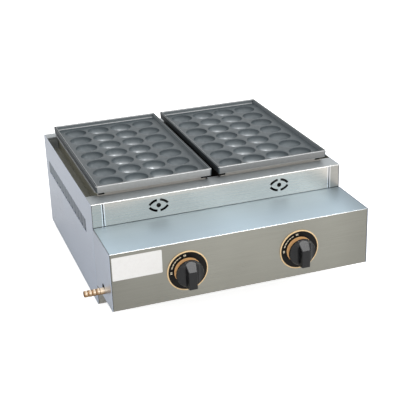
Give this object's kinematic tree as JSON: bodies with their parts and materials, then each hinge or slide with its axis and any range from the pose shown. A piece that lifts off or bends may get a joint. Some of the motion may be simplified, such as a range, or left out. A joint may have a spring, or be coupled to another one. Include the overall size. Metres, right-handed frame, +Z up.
{
  "type": "takoyaki maker",
  "caption": "Two-burner countertop gas takoyaki maker: stainless casing with a control box, two lift-off cast plates of round cups, turn knobs, eye-shaped vents and a brass hose barb.",
  "frame": {"origin": "centre of the whole object's footprint, on the surface it stands on", "axes": "+X to the right seen from the front, -Y out of the control panel, +Z up"},
  "size_m": [0.4894, 0.526, 0.2141],
  "materials": {
    "stainless_panel": "satin stainless sheet, near mirror on the ledge",
    "inner_steel": "plain mill-finish sheet and wire parts",
    "firebox_steel": "sheet dulled and tinted by heat",
    "burner_iron": "dark matt",
    "cast_plate": "cast, dark grey non-stick coat",
    "brass": "turned",
    "knob_plastic": "black satin",
    "dial": "printed black, orange and peach",
    "rubber_foot": "matt"
  },
  "bodies": {
    "casing": {"left_side_panel": "stainless_panel", "right_side_panel": "stainless_panel", "back_panel": "stainless_panel", "rear_deck_rail": "stainless_panel", "front_apron": "stainless_panel", "front_bulkhead": "stainless_panel", "base_pan": "inner_steel", "control_panel": "stainless_panel", "control_box_left_side": "stainless_panel", "control_box_right_side": "stainless_panel", "control_box_bottom": "inner_steel", "gas_rail": "inner_steel", "inlet_nut": "brass", "hose_barb": "brass", "dial_left": "dial", "gas_valve_left": "brass", "injector_left": "brass", "rail_clamp_left": "inner_steel", "firebox_left": "firebox_steel", "burner_left": "burner_iron", "burner_rest_left": "inner_steel", "foot_front_left": "rubber_foot", "foot_rear_left": "rubber_foot", "dial_right": "dial", "gas_valve_right": "brass", "injector_right": "brass", "rail_clamp_right": "inner_steel", "firebox_right": "firebox_steel", "burner_right": "burner_iron", "burner_rest_right": "inner_steel", "foot_front_right": "rubber_foot", "foot_rear_right": "rubber_foot"},
    "plate_left": {"cooking_plate_left": "cast_plate"},
    "plug_left": {"valve_plug_left": "brass"},
    "knob_left": {"knob_left": "knob_plastic", "valve_stem_left": "inner_steel"},
    "shutter_left": {"air_shutter_left": "inner_steel"},
    "plate_right": {"cooking_plate_right": "cast_plate"},
    "plug_right": {"valve_plug_right": "brass"},
    "knob_right": {"knob_right": "knob_plastic", "valve_stem_right": "inner_steel"},
    "shutter_right": {"air_shutter_right": "inner_steel"}
  },
  "joints": [
    {"name": "plate_lift_left", "type": "slide", "parent": "casing", "child": "plate_left", "axis": [0, 0, 1], "range_m": [0, 0.06]},
    {"name": "valve_turn_left", "type": "hinge", "parent": "casing", "child": "plug_left", "pos_m": [-0.08165, -0.225, 0.0981], "axis": [0, -1, 0], "range_deg": [0, 90]},
    {"name": "knob_push_left", "type": "slide", "parent": "plug_left", "child": "knob_left", "axis": [0, 1, 0], "range_m": [0, 0.003], "stiffness_N_per_m": 800, "springref_m": -0.004},
    {"name": "shutter_turn_left", "type": "hinge", "parent": "casing", "child": "shutter_left", "pos_m": [-0.08165, -0.162, 0.0981], "axis": [0, 1, 0], "range_deg": [0, 55]},
    {"name": "plate_lift_right", "type": "slide", "parent": "casing", "child": "plate_right", "axis": [0, 0, 1], "range_m": [0, 0.06]},
    {"name": "valve_turn_right", "type": "hinge", "parent": "casing", "child": "plug_right", "pos_m": [0.11615, -0.225, 0.0981], "axis": [0, -1, 0], "range_deg": [0, 90]},
    {"name": "knob_push_right", "type": "slide", "parent": "plug_right", "child": "knob_right", "axis": [0, 1, 0], "range_m": [0, 0.003], "stiffness_N_per_m": 800, "springref_m": -0.004},
    {"name": "shutter_turn_right", "type": "hinge", "parent": "casing", "child": "shutter_right", "pos_m": [0.11615, -0.162, 0.0981], "axis": [0, 1, 0], "range_deg": [0, 55]}
  ]
}
